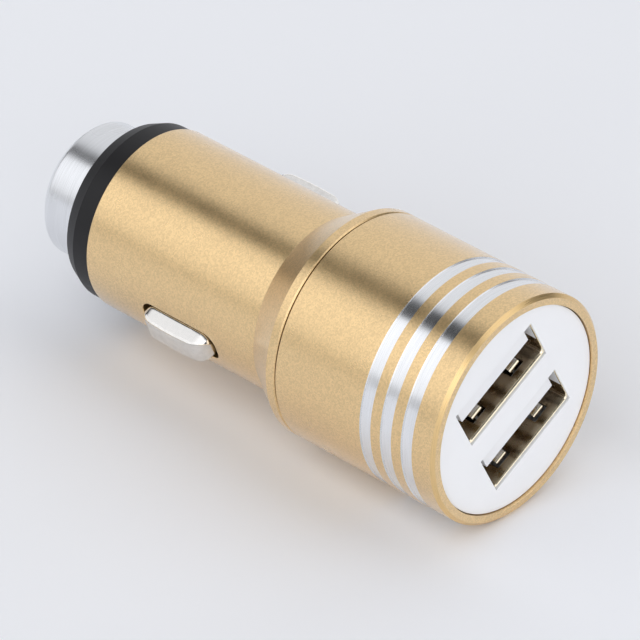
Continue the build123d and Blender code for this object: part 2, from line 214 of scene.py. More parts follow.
class ChargerPortSizes(bpy.types.PropertyGroup):
    """Sizes of the ports and the rounding of their edges."""

    port_length: length("Port length", "Long side of a port's opening", 12.5)
    port_height: length("Port height", "Short side of a port's opening", 5.12)
    # Painted light: how far the white painted on the port's ends reaches below its middle, lifting the
    # notch's shade
    painted_light_drop: length("Liner drop", "How far the end liners reach below the port's middle", 0.6)
    finger_reach: length("Finger reach", "Depth of the fingers' curled ends behind the mouth", 1.4)
    face_edge: length("Face edge", "Rounding of the white face's edges", 0.05)
    tongue_edge: length("Tongue edge", "Rounding of the tongues' edges", 0.06)
    # Depth over which the painted highlight at the mouth fades into the painted shade inside the port
    painted_shade_depth: length("Mouth glow", "Depth over which a shell darkens behind its mouth", 0.9)
    mouth_edge: length("Mouth edge", "Rounding inside the mouth of a port's shell", 0.28)


class ChargerFinishes(bpy.types.PropertyGroup):
    """Colours and gloss of the finishes."""

    gold: colour("Gold", "Anodised gold", (0.81, 0.57, 0.275))
    gold_roughness: share("Gold roughness", "Gloss of the blasted gold", 0.29)
    grain_size: length("Grain size", "Size of the blasting grain", 0.15)
    grain_depth: length("Grain depth", "Height of the blasting grain", 0.014)
    cut_silver: colour("Cut silver", "Bare metal of the bands", (0.86, 0.87, 0.89))
    nose_silver: colour("Nose silver", "Bare metal of the nose", (0.80, 0.81, 0.83))
    ring_black: colour("Ring black", "Nylon of the ring", (0.009, 0.0085, 0.0095))
    cap_white: colour("Cap white", "Plastic of the face plate", (0.89, 0.89, 0.90))
    tongue_white: colour("Tongue white", "Plastic of the port tongues", (0.87, 0.87, 0.88))
    shoe_nickel: colour("Shoe nickel", "Plating of the side contacts", (0.83, 0.81, 0.78))
    # Brown painted shade for the dark inside of the ports, in place of the plating's own colour
    port_painted_shade: colour("Port nickel", "Plating of the port shells", (0.50, 0.40, 0.28))
    # Pale tin of the fingers, partly their own colour and partly a painted highlight, kept lighter than the
    # shaded shell
    finger_tin_and_highlight: colour("Finger tin", "Plating of the spring fingers", (0.93, 0.92, 0.90))
    # Pale gold painted highlight on the shells' rolled lips and finger curls, and the light end of their
    # painted shade
    painted_lip_highlight: colour("Mouth gold", "Rounded lip of the port shells", (0.95, 0.86, 0.66))


class ChargerStageSettings(bpy.types.PropertyGroup):
    """Camera, light and floor."""

    azimuth: angle("Azimuth", "Turn of the camera about the object", 42.97)
    elevation: angle("Elevation", "Height of the camera over the horizon", 34.74)
    distance: length("Distance", "Camera to the plug's origin", 621.7)
    aim_right: length("Aim right", "How far the view's centre lies right of the origin", -0.19)
    aim_up: length("Aim up", "How far the view's centre lies above the origin", -1.28)
    focal_pixels: bpy.props.FloatProperty(
        name="Focal length", description="Focal length in pixels of the square image", default=6004.6
    )
    floor_side: length("Floor side", "Side of the square floor", 4000.0)
    floor_colour: colour("Floor colour", "Pale floor", (0.90, 0.91, 0.94))
    front_fill: share("Front fill", "How much brighter the ports' side of the studio is", 0.3)
    light: bpy.props.FloatProperty(name="Light", description="Strength of the studio light", default=1.76)


# Meshes as whole arrays


def soft_corners(corners, rounds, steps=5, guard=0.06 * MM):
    """A closed outline's corners as arcs, shape (corner, point, 2).

    Each corner P with unit directions a and b to its neighbours becomes an arc of radius r about
    P + (a + b) / |a + b| * r / sin(half the angle), from P + a * t to P + b * t with t = r / tan(half).
    One guard point on each side keeps the straight runs flat when shaded.
    """
    corners = np.asarray(corners, float)
    rounds = np.broadcast_to(np.asarray(rounds, float), len(corners))[:, None]
    to_last = np.roll(corners, 1, 0) - corners
    to_next = np.roll(corners, -1, 0) - corners
    run_last = np.linalg.norm(to_last, axis=1, keepdims=True)
    run_next = np.linalg.norm(to_next, axis=1, keepdims=True)
    a = to_last / run_last
    b = to_next / run_next
    half = np.arccos(np.clip((a * b).sum(1, keepdims=True), -1, 1)) / 2
    tangent = rounds / np.tan(half)
    middle = (a + b) / np.linalg.norm(a + b, axis=1, keepdims=True)
    centre = corners + middle * rounds / np.sin(half)
    start = corners + a * tangent - centre
    end = corners + b * tangent - centre
    sweep = (math.pi - 2 * half)[:, :, None]
    part = np.linspace(0, 1, steps)[None, :, None]
    arc = np.sin((1 - part) * sweep) * start[:, None] + np.sin(part * sweep) * end[:, None]
    arc = centre[:, None] + arc / np.sin(sweep)
    before = corners + a * np.minimum(tangent + guard, 0.45 * run_last)
    after = corners + b * np.minimum(tangent + guard, 0.45 * run_next)
    return np.concatenate([before[:, None], arc, after[:, None]], 1)


def revolved(profile, turns):
    """Points (x, r cos t, r sin t) of a profile (x, r) turned about X, shape (row, column, 3)."""
    x = np.broadcast_to(profile[:, 0, None], (len(profile), len(turns)))
    r = profile[:, 1, None]
    return np.stack([x, r * np.cos(turns), r * np.sin(turns)], -1)


def grid_quads(rows, columns, wrap_rows=False, wrap_columns=False):
    """Faces of a grid of points numbered row by row, closed where a direction wraps."""
    row = np.arange(rows if wrap_rows else rows - 1)[:, None]
    column = np.arange(columns if wrap_columns else columns - 1)[None, :]
    next_row = (row + 1) % rows
    next_column = (column + 1) % columns
    corners = (row * columns + column, row * columns + next_column,
               next_row * columns + next_column, next_row * columns + column)
    return np.stack(np.broadcast_arrays(*corners), -1)


def ring_quads(rings):
    """Faces between closed rings of point numbers, shape (ring, point)."""
    after = np.roll(rings, -1, 1)
    return np.stack([rings[:-1], after[:-1], after[1:], rings[1:]], -1).reshape(-1, 4)


def add_piece(name, points, faces, materials, nodes, body="root", which=None):
    """Puts points and faces into a closed mesh with outward faces, and seats it on its body."""
    mesh = bpy.data.meshes.new(name)
    mesh.from_pydata(points.reshape(-1, 3).tolist(), [], faces.reshape(-1, 4).tolist())
    for material in materials:
        mesh.materials.append(material)
    if which is not None:
        mesh.polygons.foreach_set("material_index", np.asarray(which, np.int32).ravel())
    work = bmesh.new()
    work.from_mesh(mesh)
    bmesh.ops.remove_doubles(work, verts=work.verts, dist=MERGE_DISTANCE)
    bmesh.ops.dissolve_degenerate(work, edges=work.edges, dist=SHORTEST_EDGE)
    bmesh.ops.recalc_face_normals(work, faces=work.faces)
    work.to_mesh(mesh)
    work.free()
    mesh.polygons.foreach_set("use_smooth", np.ones(len(mesh.polygons), bool))
    mesh.set_sharp_from_angle(angle=SHARP_ANGLE)
    mesh.update()
    piece = bpy.data.objects.new(name, mesh)
    bpy.context.scene.collection.objects.link(piece)
    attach(piece, body)
    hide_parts(*nodes)
    return piece


def paint(material, *nodes):
    """Gives carried-over solids their finish."""
    for name in nodes:
        mesh = frame["nodes"][name].data
        mesh.materials.clear()
        mesh.materials.append(material)


# Finishes


def add_node(tree, kind, inputs=None, **settings):
    """A node with its settings, and with each input set to a value or linked from a socket."""
    made = tree.nodes.new(kind)
    for key, value in settings.items():
        setattr(made, key, value)
    for key, value in (inputs or {}).items():
        if isinstance(value, bpy.types.NodeSocket):
            tree.links.new(value, made.inputs[key])
        else:
            made.inputs[key].default_value = value
    return made


def new_finish(name, metallic=0.0):
    """A material with its tree, its shader and its Object coordinates."""
    material = bpy.data.materials.new(name)
    material.use_nodes = True
    tree = material.node_tree
    shader = tree.nodes["Principled BSDF"]
    shader.inputs["Metallic"].default_value = metallic
    place = tree.nodes.new("ShaderNodeTexCoord").outputs["Object"]
    return material, tree, shader, place


def noise(tree, place, size, detail=2.0, stretch=(1.0, 1.0, 1.0)):
    """Cloudy noise whose blotches are about size across, stretched along the axes."""
    mapped = add_node(tree, "ShaderNodeMapping", {"Vector": place, "Scale": stretch})
    made = add_node(tree, "ShaderNodeTexNoise",
                    {"Vector": mapped.outputs["Vector"], "Scale": 1.0 / size, "Detail": detail})
    return made.outputs["Fac"]


def spread(tree, value, low=0.0, high=1.0, start=0.3, stop=0.7):
    """A noise value carried from start..stop to low..high."""
    made = add_node(tree, "ShaderNodeMapRange", {"Value": value, "From Min": start, "From Max": stop,
                                                 "To Min": low, "To Max": high})
    return made.outputs["Result"]


def tint(tree, factor, colour_a, colour_b):
    """A colour between two colours."""
    made = add_node(tree, "ShaderNodeMix", data_type="RGBA")
    tree.links.new(factor, made.inputs[0])
    made.inputs[6].default_value = (*colour_a, 1.0)
    made.inputs[7].default_value = (*colour_b, 1.0)
    return made.outputs[2]


def shaded(base, factor):
    """A colour made lighter or darker."""
    return tuple(min(1.0, channel * factor) for channel in base)


def mottle(tree, shader, shade, base, low, high):
    """Colours the shader from low to high times its base as shade goes from 0 to 1."""
    made = tint(tree, shade, shaded(base, low), shaded(base, high))
    tree.links.new(made, shader.inputs["Base Color"])


def roughen(tree, shader, value, low, high):
    """Carries a noise value to a roughness from low to high."""
    tree.links.new(spread(tree, value, low, high), shader.inputs["Roughness"])


def bump(tree, shader, height, depth):
    """Raises the surface by height times depth."""
    made = add_node(tree, "ShaderNodeBump", {"Height": height, "Distance": depth, "Strength": 1.0})
    tree.links.new(made.outputs["Normal"], shader.inputs["Normal"])
    return made.outputs["Normal"]


def blasted_gold(look):
    """Anodised gold over a fine bead-blasted grain, shared by both shells."""
    if "blasted_gold" in bpy.data.materials:
        return bpy.data.materials["blasted_gold"]
    material, tree, shader, place = new_finish("blasted_gold", 1.0)
    grain = noise(tree, place, look.grain_size, 1.0)
    cloud = noise(tree, place, 27 * look.grain_size)
    speck = add_node(tree, "ShaderNodeTexVoronoi", {"Vector": place, "Scale": 1.0 / look.grain_size})
    shader.inputs["Coat Weight"].default_value = 0.8
    shader.inputs["Coat Roughness"].default_value = 0.2
    shader.inputs["Coat IOR"].default_value = 1.7
    shade = spread(tree, speck.outputs["Color"], start=0.2, stop=0.8)
    mottle(tree, shader, shade, look.gold, 0.9, 1.1)
    roughen(tree, shader, cloud, look.gold_roughness - 0.02, look.gold_roughness + 0.03)
    grained = bump(tree, shader, grain, look.grain_depth)
    tree.links.new(grained, shader.inputs["Coat Normal"])
    return material


def smooth_gold(look):
    """The same gold on a fine-turned face, without the grain."""
    material, tree, shader, place = new_finish("turned_gold", 1.0)
    lines = noise(tree, place, TURNING_PITCH, 1.0, (1.0, 0.02, 0.02))
    mottle(tree, shader, spread(tree, lines), look.gold, 0.95, 1.04)
    roughen(tree, shader, lines, 0.26, 0.34)
    bump(tree, shader, lines, 0.001 * MM)
    return material


def turned_metal(name, base, size, low, high, depth):
    """Bare metal with fine turning lines round the axis."""
    material, tree, shader, place = new_finish(name, 1.0)
    lines = noise(tree, place, size, 2.0, (1.0, 0.015, 0.015))
    patches = noise(tree, place, 60 * size)
    mottle(tree, shader, spread(tree, lines), base, 0.92, 1.05)
    roughen(tree, shader, patches, low, high)
    bump(tree, shader, lines, depth)
    return material


def plated(name, base, low, high):
    """Plated metal, nearly even, with a faint drawn texture."""
    material, tree, shader, place = new_finish(name, 1.0)
    cloud = noise(tree, place, PLATING_CLOUD, 3.0)
    mottle(tree, shader, spread(tree, cloud), base, 0.92, 1.05)
    roughen(tree, shader, cloud, low, high)
    bump(tree, shader, noise(tree, place, PLATING_GRAIN), PLATING_DEPTH)
    return material


def port_plating_with_painted_light(look, depth):
    """Plating of a port's shell with painted light: a pale painted highlight at the mouth, fading into brown
    painted shade deeper in the port.
    """
    material, tree, shader, place = new_finish("port_painted_shade", 1.0)
    mouth = MOUNTS["usb_port_upper"]["pos_m"][0]
    parts = add_node(tree, "ShaderNodeSeparateXYZ", {"Vector": place})
    cloud = noise(tree, place, PLATING_CLOUD, 3.0)
    # Painted light: lighter towards the mouth, with painted shade deeper in the port
    painted_mouth_light = spread(tree, parts.outputs["X"], start=mouth - depth, stop=mouth)
    tree.links.new(tint(tree, painted_mouth_light, look.port_painted_shade, look.painted_lip_highlight), shader.inputs["Base Color"])
    roughen(tree, shader, cloud, 0.16, 0.3)
    bump(tree, shader, noise(tree, place, PLATING_GRAIN), PLATING_DEPTH)
    return material


def moulded(name, base, low, high, depth=0.0025 * MM, variation=0.03, gloss=0.5):
    """Moulded plastic with a fine skin."""
    material, tree, shader, place = new_finish(name)
    skin = noise(tree, place, MOULDED_GRAIN)
    cloud = noise(tree, place, MOULDED_CLOUD)
    shader.inputs["Specular IOR Level"].default_value = gloss
    mottle(tree, shader, spread(tree, cloud), base, 1 - variation, 1 + variation)
    roughen(tree, shader, skin, low, high)
    bump(tree, shader, skin, depth)
    return material


def laminate(name, base):
    """Green board with a weave showing through its lacquer."""
    material, tree, shader, place = new_finish(name)
    weave = add_node(tree, "ShaderNodeTexWave", {"Vector": place, "Scale": 900.0, "Distortion": 2.0})
    mottle(tree, shader, weave.outputs["Fac"], base, 0.85, 1.15)
    roughen(tree, shader, noise(tree, place, 2 * MM), 0.3, 0.45)
    return material


# Pieces


class CHARGER_OT_rear_shell(bpy.types.Operator):
    """Barrel, shoulder and spigot as one turned shell with a slot on each side"""

    bl_idname = "charger.rear_shell"
    bl_label = "Rear Shell"

    def execute(self, context):
        size = context.scene.charger_shells
        shoe = context.scene.charger_contacts
        look = context.scene.charger_finishes
        outer = BARREL_RADIUS
        bore = outer - size.barrel_wall
        head = HEAD_HIGH.z
        collar_end = size.shoulder_length + size.collar_length
        spigot = head - size.head_wall - size.spigot_clearance
        spigot_bore = spigot - size.spigot_wall
        flare = (spigot_bore - bore) * size.shoulder_length / (head - outer)
        corners = [
            (SHELL_LOW.x, bore), (SHELL_LOW.x, outer), (0, outer), (size.shoulder_length, head),
            (collar_end - size.seam_chamfer, head), (collar_end, head - size.seam_chamfer),
            (collar_end, spigot), (SHELL_HIGH.x - size.spigot_chamfer, spigot),
            (SHELL_HIGH.x, spigot - size.spigot_chamfer), (SHELL_HIGH.x, spigot_bore),
            (size.shoulder_length, spigot_bore), (size.shoulder_length - flare, bore),
        ]
        rounds = np.full(len(corners), size.edge_round)
        rounds[2] = size.shoulder_round
        arcs = soft_corners(corners, rounds)

        # Rows of the slot patch run through the straight wall, outside and inside
        columns, half_columns, cells = SHELL_COLUMNS, PATCH_HALF_COLUMNS, PATCH_CELLS
        centre = (SHOE_LOW.x + SHOE_HIGH.x) / 2
        half = np.array([shoe.shoe_length / 2 + size.slot_end_clearance,
                         shoe.shoe_width / 2 + size.slot_clearance])
        patch_half = half[0] + PATCH_MARGIN
        rows_x = np.linspace(centre - patch_half, centre + patch_half, cells + 1)
        outside = np.stack([rows_x, np.full_like(rows_x, outer)], 1)
        inside = np.stack([rows_x[::-1], np.full_like(rows_x, bore)], 1)
        profile = np.concatenate([arcs[0], arcs[1], outside, arcs[2:].reshape(-1, 2), inside])
        outside_row = 2 * arcs.shape[1]
        inside_row = len(profile) - 1

        direction = -np.array(SIDES["left"]["axis"])
        first = math.atan2(direction[2], direction[1])
        turns = first + np.arange(columns) * 2 * math.pi / columns
        points = [revolved(profile, turns).reshape(-1, 3)]
        faces = grid_quads(len(profile), columns, True, True)
        keep = np.ones(faces.shape[:2], bool)
        patches = []
        i = np.arange(cells)
        j = np.arange(-half_columns, half_columns)
        loop_i = np.concatenate([i, np.full(len(j), cells), i[::-1] + 1, np.zeros(len(j), int)])
        loop_j = np.concatenate([np.full(cells, -half_columns), j, np.full(cells, half_columns), -j])
        for place in (0, columns // 2):
            middle = (place + j) % columns
            keep[outside_row:outside_row + cells, middle] = False
            keep[inside_row - cells:inside_row, middle] = False
            column = (place + loop_j) % columns
            out_ring = (outside_row + loop_i) * columns + column
            in_ring = (inside_row - loop_i) * columns + column
            rings = slot_rings(rows_x[loop_i] - centre, loop_j * 2 * math.pi / columns, half, patch_half,
                               size.slot_corner, size.slot_edge, outer, bore)
            turn = turns[place]
            out = np.array([0, math.cos(turn), math.sin(turn)])
            lateral = np.array([0, -math.sin(turn), math.cos(turn)])
            height = np.sqrt(rings[..., 2] ** 2 - rings[..., 1] ** 2)
            spots = height[..., None] * out + rings[..., 1, None] * lateral
            spots[..., 0] += centre + rings[..., 0]
            base = sum(len(block) for block in points)
            numbers = base + np.arange(rings.shape[0] * rings.shape[1]).reshape(rings.shape[:2])
            points.append(spots.reshape(-1, 3))
            patches.append(ring_quads(np.concatenate([out_ring[None], numbers, in_ring[None]])))
        faces = np.concatenate([faces[keep], *patches])
        add_piece("barrel_and_shoulder", np.concatenate(points), faces, [blasted_gold(look)],
                  nodes=["rear_shell"])
        return {"FINISHED"}


def slot_rings(x, turn, half, patch_half, corner, edge, outer, bore):
    """Rings from a patch's border on the barrel, over the slot's rounded edge and down its wall to the bore.

    The border point, shrunk onto the slot's rectangle and moved to the nearest point of the rounded
    rectangle, gives the outline. Each ring holds (x, lateral place, radius).
    """
    fitted = np.stack([x / patch_half * half[0], turn / np.abs(turn).max() * half[1]], -1)
    core = np.clip(fitted, corner - half, half - corner)
    away = (fitted - core) / np.linalg.norm(fitted - core, axis=1, keepdims=True)
    outline = core + corner * away
    border = np.stack([x, outer * np.sin(turn)], -1)
    inner_border = np.stack([x, bore * np.sin(turn)], -1)
    lip = outline + edge * away
    blend = np.array([0.3, 0.6, 0.85, 0.97])[:, None, None]
    bend = np.linspace(0, math.pi / 2, 5)[:, None]
    over = outline + (edge * (1 - np.sin(bend)))[..., None] * away
    flat = border + (lip - border) * blend
    back = outline + (inner_border - outline) * (1 - blend[::-1])
    level = [np.full(flat.shape[:2], outer),
             np.broadcast_to(outer - edge * (1 - np.cos(bend)), over.shape[:2]),
             np.full((1, len(x)), bore), np.full(back.shape[:2], bore)]
    plan = [flat, over, outline[None], back]
    return np.concatenate([np.concatenate(plan), np.concatenate(level)[..., None]], -1)


class CHARGER_OT_head_sleeve(bpy.types.Operator):
    """Head sleeve with bright-cut bands and a cut front edge"""

    bl_idname = "charger.head_sleeve"
    bl_label = "Head Sleeve"

    def execute(self, context):
        size = context.scene.charger_shells
        look = context.scene.charger_finishes
        head = HEAD_HIGH.z
        bore = head - size.head_wall
        front = HEAD_HIGH.x
        last = front - size.band_setback
        band_ends = last - size.band_pitch * np.arange(2, -1, -1)
        low = head - size.band_depth
        bands = [[(end - size.band_width, head), (end - size.band_width, low), (end, low), (end, head)]
                 for end in band_ends]
        corners = np.concatenate([
            [(HEAD_LOW.x, bore), (HEAD_LOW.x, head - size.seam_chamfer),
             (HEAD_LOW.x + size.seam_chamfer, head)],
            *bands,
            [(front - size.front_chamfer, head), (front, head - size.front_chamfer), (front, bore)],
        ])
        rounds = np.full(len(corners), 0.4 * size.edge_round)
        arcs = soft_corners(corners, rounds, steps=4, guard=0.02 * MM)
        profile = arcs.reshape(-1, 2)
        columns = SHELL_COLUMNS
        points = revolved(profile, np.arange(columns) * 2 * math.pi / columns)
        faces = grid_quads(len(profile), columns, True, True)
        x, r = (profile + np.roll(profile, -1, 0)).T / 2
        in_band = (r < head - 0.2 * size.band_depth) & (r > bore + 0.5 * size.head_wall)
        in_band &= (x > band_ends[0] - 2 * size.band_width) & (x < last + size.band_width)
        cut = 0.98 * size.front_chamfer
        in_cut = (x > front - cut) & (r > head - cut)
        which = np.repeat(in_band * 1 + in_cut * 2, columns)
        cut_silver = turned_metal("cut_silver", look.cut_silver, TURNING_PITCH, 0.14, 0.2, 0.0008 * MM)
        add_piece("banded_head", points, faces, [blasted_gold(look), cut_silver, smooth_gold(look)],
                  nodes=["head_sleeve"], which=which)
        return {"FINISHED"}


class CHARGER_OT_nose(bpy.types.Operator):
    """Black insulating ring and the turned hammer nose"""

    bl_idname = "charger.nose"
    bl_label = "Ring and Nose"

    def execute(self, context):
        size = context.scene.charger_shells
        look = context.scene.charger_finishes
        outer = RING_HIGH.z
        hole = size.stud_radius + size.stud_clearance
        skirt = BARREL_RADIUS - size.barrel_wall - size.ring_skirt_clearance
        rear = RING_LOW.x
        cup = rear + size.ring_floor
        taper = SHELL_LOW.x - size.ring_length
        ring = [(rear, hole), (rear, size.ring_taper_radius), (taper, outer), (SHELL_LOW.x, outer),
                (SHELL_LOW.x, skirt), (RING_HIGH.x, skirt), (RING_HIGH.x, size.ring_cup_radius),
                (cup, size.ring_cup_radius), (cup, hole)]
        profile = soft_corners(ring, RING_ROUND).reshape(-1, 2)
        columns = NOSE_COLUMNS
        turns = np.arange(columns) * 2 * math.pi / columns
        add_piece("nylon_ring", revolved(profile, turns), grid_quads(len(profile), columns, True, True),
                  [moulded("ring_nylon", look.ring_black, 0.38, 0.5, gloss=0.3)],
                  nodes=["insulating_ring"])

        end = rear - size.nose_length
        nose_radius = NOSE_HIGH.z
        nose = [(NOSE_HIGH.x, 0), (NOSE_HIGH.x, size.stud_radius), (rear, size.stud_radius),
                (rear, nose_radius), (end + size.nose_chamfer, nose_radius),
                (end, nose_radius - size.nose_chamfer), (NOSE_LOW.x, size.nose_tip_radius), (NOSE_LOW.x, 0)]
        arcs = soft_corners(nose, NOSE_ROUNDS, steps=7)
        profile = np.concatenate([nose[:1], arcs[0, -1:], arcs[1:-1].reshape(-1, 2), arcs[-1, :1], nose[-1:]])
        silver = turned_metal("nose_silver", look.nose_silver, 0.09 * MM, 0.2, 0.3, 0.0016 * MM)
        add_piece("hammer_nose", revolved(profile, turns), grid_quads(len(profile), columns, False, True),
                  [silver], nodes=["nose_contact"])
        return {"FINISHED"}


class CHARGER_OT_side_contacts(bpy.types.Operator):
    """Sprung shoes in the barrel's slots and the leaf springs under them"""

    bl_idname = "charger.side_contacts"
    bl_label = "Side Contacts"

    def execute(self, context):
        size = context.scene.charger_contacts
        shells = context.scene.charger_shells
        look = context.scene.charger_finishes
        nickel = plated("shoe_nickel", look.shoe_nickel, 0.1, 0.17)
        spring = plated("spring_steel", (0.5, 0.5, 0.51), 0.25, 0.35)
        outer = BARREL_RADIUS
        bore = outer - shells.barrel_wall
        top = math.sqrt(bore ** 2 - (size.flange_width / 2) ** 2) - size.flange_clearance
        bottom = top - size.flange_thickness
        crown = outer + size.shoe_proud
        leaf_crown = bottom - size.leaf_clearance
        leaf_seat = leaf_crown - size.leaf_rise
        centre = (SHOE_LOW.x + SHOE_HIGH.x) / 2
        shoe_points, shoe_faces = shoe_surface(size, shells, crown, bottom)
        flange_points, flange_faces = plate_block(size.flange_length, size.flange_width, bottom, top)
        leaf_points, leaf_faces = leaf_surface(size, leaf_crown, leaf_seat)
        for side, joint in SIDES.items():
            out = -np.array(joint["axis"])
            basis = np.array([[1, 0, 0], np.cross(out, [1, 0, 0]), out])
            offset = np.array([centre, 0, 0])
            points = np.concatenate([shoe_points, flange_points]) @ basis + offset
            faces = np.concatenate([shoe_faces, flange_faces + len(shoe_points)])
            add_piece(f"contact_shoe_{side}", points, faces, [nickel], body=joint["child"],
                      nodes=[f"side_contact_{side}"])
            leaf = add_piece(f"leaf_spring_{side}", leaf_points @ basis + offset, leaf_faces, [spring],
                             nodes=[f"contact_leaf_{side}"])
            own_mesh(leaf)
        return {"FINISHED"}


def shoe_surface(size, shells, crown, bottom):
    """The shoe as a closed outline carried across its width, with a fine groove under the crown's edges.

    The outline is the crown's arc with rounded ends down to the flange. At each edge it is drawn in by
    e (1 - cos a) as the place moves inwards by e (1 - sin a), and the side starts again at full width. The
    width follows the slot's rounded corners along X and falls evenly from the barrel's surface to the crown,
    and the crown is cambered to a cylinder about the plug's axis.
    """
    half = size.shoe_length / 2
    wide = size.shoe_width / 2
    corner = shells.slot_corner - shells.slot_clearance
    radius = (half ** 2 + size.end_drop ** 2) / (2 * size.end_drop)
    arc_centre = crown - radius
    end_x = half - size.end_radius
    end_height = arc_centre + math.sqrt((radius - size.end_radius) ** 2 - end_x ** 2)
    lean = math.atan2(end_x, end_height - arc_centre)
    sweep = np.linspace(-lean, lean, 41)
    arc = np.stack([radius * np.sin(sweep), arc_centre + radius * np.cos(sweep)], 1)
    bend = np.linspace(lean, math.pi / 2, 12)[1:]
    right = np.stack([end_x + size.end_radius * np.sin(bend), end_height + size.end_radius * np.cos(bend)], 1)
    wall = np.linspace(end_height - 0.1 * MM, bottom, 6)
    right = np.concatenate([right, np.stack([np.full_like(wall, half), wall], 1)])
    left = right[::-1] * [-1, 1]
    floor_x = np.linspace(half, -half, 22)[1:-1]
    floor_run = np.stack([floor_x, np.full_like(floor_x, bottom)], 1)
    outline = np.concatenate([left, arc, right, floor_run])
    along = np.roll(outline, -1, 0) - np.roll(outline, 1, 0)
    normal = np.stack([-along[:, 1], along[:, 0]], 1) / np.linalg.norm(along, axis=1, keepdims=True)

    edge = size.shoe_edge
    bend = np.linspace(math.pi / 2, 0, 6)
    moved = edge / wide * (1 - np.sin(bend))
    side_place = np.concatenate([-1 + moved[::-1], np.linspace(-0.85, 0.85, 9), 1 - moved])
    drawn = np.concatenate([edge * (1 - np.cos(bend)), np.zeros(9), edge * (1 - np.cos(bend[::-1]))])
    skin = outline[:, None] - normal[:, None] * drawn[None, :, None]
    spine = np.stack([np.clip(outline[:, 0], -(half - 2 * corner), half - 2 * corner),
                      np.full(len(outline), (crown + bottom) / 2)], 1)
    inwards = np.linspace(0, 1, 17)[1:, None]
    cap = skin[:, -1][:, None] + (spine - skin[:, -1])[:, None] * inwards[None]
    sheet = np.concatenate([cap[:, ::-1], skin, cap], 1)
    place = np.concatenate([np.full(len(inwards), -1.0), side_place, np.full(len(inwards), 1.0)])
    over = np.clip(np.abs(sheet[..., 0]) - (half - corner), 0, corner)
    width = wide - corner + np.sqrt(corner ** 2 - over ** 2)
    risen = np.clip((sheet[..., 1] - BARREL_RADIUS) / (crown - BARREL_RADIUS), 0, 1)
    lateral = place[None] * (width - risen * (wide - size.crown_width / 2))
    camber = crown - np.sqrt(crown ** 2 - lateral ** 2)
    points = np.stack([sheet[..., 0], lateral, sheet[..., 1] - camber], -1)
    faces = grid_quads(*points.shape[:2], wrap_rows=True).reshape(-1, 4)
    return points.reshape(-1, 3), faces


def plate_block(long, wide, low, high):
    """A flat block with rounded edges: a rounded rectangle's rings, from one face's middle to the other's."""
    corners = np.array([(-1, -1), (1, -1), (1, 1), (-1, 1)]) * [long / 2, wide / 2]
    outline = soft_corners(corners, FLANGE_CORNER).reshape(-1, 2)
    bend = np.linspace(0, math.pi / 2, 4)
    inset = FLANGE_ROUND * (1 - np.sin(bend))
    inset = np.concatenate([inset, inset[::-1]])
    sink = FLANGE_ROUND * (1 - np.cos(bend))
    level = np.concatenate([low + sink, high - sink[::-1]])
    shrink = 1 - inset[:, None, None] / np.array([long / 2, wide / 2])
    heights = np.broadcast_to(level[:, None, None], (len(level), len(outline), 1))
    rings = np.concatenate([outline[None] * shrink, heights], -1)
    spine = np.stack([np.clip(outline[:, 0], -0.3 * long, 0.3 * long), np.zeros(len(outline))], 1)
    ends = [np.concatenate([spine, np.full((len(spine), 1), z)], 1)[None] for z in (low, high)]
    points = np.concatenate([ends[0], rings, ends[1]])
    numbers = np.arange(points.shape[0] * points.shape[1]).reshape(points.shape[:2])
    return points.reshape(-1, 3), ring_quads(numbers)


def leaf_surface(size, crown, seat):
    """A strip's cross-section carried along an arc from seat to crown to seat."""
    end = size.leaf_span / 2
    radius = (end ** 2 + size.leaf_rise ** 2) / (2 * size.leaf_rise)
    inner_end = end - 2 * size.leaf_thickness
    rise = size.leaf_rise - size.leaf_thickness
    inner_radius = (inner_end ** 2 + rise ** 2) / (2 * rise)
    part = np.linspace(-1, 1, 41)
    upper = np.stack([end * part, crown - radius + np.sqrt(radius ** 2 - (end * part) ** 2)], 1)
    lower_x = inner_end * part
    lower = np.stack([lower_x, crown - size.leaf_thickness - inner_radius
                      + np.sqrt(inner_radius ** 2 - lower_x ** 2)], 1)
    loop = np.stack([upper, upper, lower, lower], 1)
    lateral = np.array([-1, 1, 1, -1]) * size.leaf_width / 2
    points = np.stack([loop[..., 0], np.broadcast_to(lateral, loop.shape[:2]), loop[..., 1]], -1)
    faces = grid_quads(len(part), 4, wrap_columns=True).reshape(-1, 4)
    caps = np.array([[0, 1, 2, 3], np.arange(4) + 4 * (len(part) - 1)])
    return points.reshape(-1, 3), np.concatenate([faces, caps])


class CHARGER_OT_ports(bpy.types.Operator):
    """White face plate and the two ports with their fingers, tongues and strips"""

    bl_idname = "charger.ports"
    bl_label = "Face and Ports"

    def execute(self, context):
        size = context.scene.charger_ports
        look = context.scene.charger_finishes
        white = moulded("cap_white", look.cap_white, 0.3, 0.4, depth=CAP_DEPTH, variation=0.01)
        dressed_copy("white_face", "face_plate", [white], size.face_edge)
        ivory = moulded("tongue_white", look.tongue_white, 0.35, 0.45, depth=CAP_DEPTH, variation=0.01)
        # Finishes by index: plating with painted shade and highlight, finger tin with painted highlight, the
        # lips' painted highlight, and white painted on the port's ends as painted light
        shell = [port_plating_with_painted_light(look, size.painted_shade_depth), plated("finger_tin_and_highlight", look.finger_tin_and_highlight, 0.2, 0.3),
                 plated("painted_lip_highlight", look.painted_lip_highlight, 0.12, 0.2), ivory]
        for name in ("upper", "lower"):
            dressed_copy(f"port_tongue_{name}", f"usb_tongue_{name}", [ivory], size.tongue_edge)
            dressed_copy(f"port_shell_{name}", f"usb_shell_{name}", shell, size.mouth_edge,
                         port=np.array(MOUNTS[f"usb_port_{name}"]["pos_m"]))
        paint(plated("strip_gold", (0.82, 0.60, 0.26), 0.18, 0.28),
              "usb_contacts_upper", "usb_contacts_lower")
        return {"FINISHED"}


def port_directions():
    """Unit vectors along a port's long side and up its short side."""
    up = np.array(MOUNTS["usb_port_upper"]["pos_m"]) - np.array(MOUNTS["usb_port_lower"]["pos_m"])
    up /= np.linalg.norm(up)
    return np.cross(up, [1, 0, 0]), up


